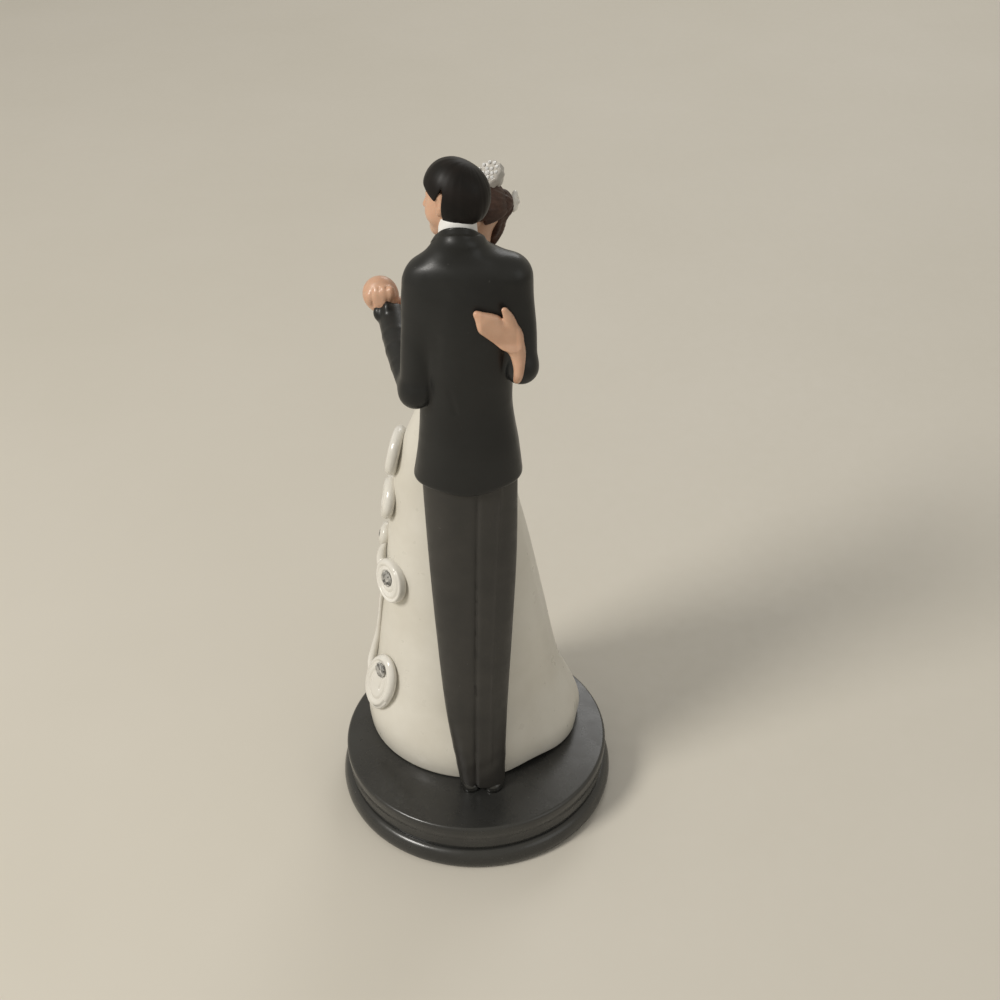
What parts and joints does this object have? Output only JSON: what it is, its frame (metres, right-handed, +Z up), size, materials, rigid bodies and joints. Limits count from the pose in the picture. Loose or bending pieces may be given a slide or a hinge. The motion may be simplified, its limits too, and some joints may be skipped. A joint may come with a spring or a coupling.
{
  "type": "wedding cake topper",
  "caption": "Painted resin figurine of a dancing bride and groom on a round two-tier black base, stands on top of a wedding cake",
  "frame": {"origin": "middle of the base's flat underside", "axes": "+Z up along the figures, groom on the -Y side facing the bride, +X to the groom's right"},
  "size_m": [0.07, 0.07, 0.1751],
  "materials": {
    "base_gloss": "gloss black paint on cast resin",
    "shoe_black": "gloss black paint on cast resin",
    "suit_black": "semi-gloss charcoal black paint on cast resin",
    "shirt_white": "semi-gloss white paint on cast resin",
    "skin": "satin peach paint on cast resin",
    "hair_black": "semi-gloss brown-black paint on cast resin",
    "hair_brown": "semi-gloss brown paint on cast resin",
    "gown_white": "semi-gloss warm white paint on cast resin",
    "trim_white": "semi-gloss warm white paint on cast resin",
    "stone_clear": "foil-backed clear stone"
  },
  "bodies": {
    "root": {"base_plinth": "base_gloss", "base_top": "base_gloss", "groom_shoe_left": "shoe_black", "groom_shoe_right": "shoe_black", "groom_trousers": "suit_black", "groom_jacket": "suit_black", "groom_jacket_collar": "suit_black", "groom_sleeve_left": "suit_black", "groom_sleeve_right": "suit_black", "groom_bow_tie": "suit_black", "groom_shirt_collar": "shirt_white", "groom_shirt_front": "shirt_white", "groom_hand_left": "skin", "groom_hand_right": "skin", "groom_head": "skin", "groom_hair": "hair_black", "bride_skirt": "gown_white", "bride_bodice": "gown_white", "bride_bust": "skin", "bride_upper_arm_left": "skin", "bride_forearm_left": "skin", "bride_arm_right": "skin", "bride_head": "skin", "bride_hair": "hair_brown", "bride_bun": "hair_brown", "bride_tiara": "trim_white", "bride_hair_flower": "trim_white", "rosette_1": "trim_white", "rosette_2": "trim_white", "rosette_3": "trim_white", "rosette_4": "trim_white", "rosette_5": "trim_white", "rosette_stone_1": "stone_clear", "rosette_stone_2": "stone_clear", "rosette_stone_3": "stone_clear", "rosette_stone_4": "stone_clear", "rosette_stone_5": "stone_clear"}
  },
  "joints": []
}
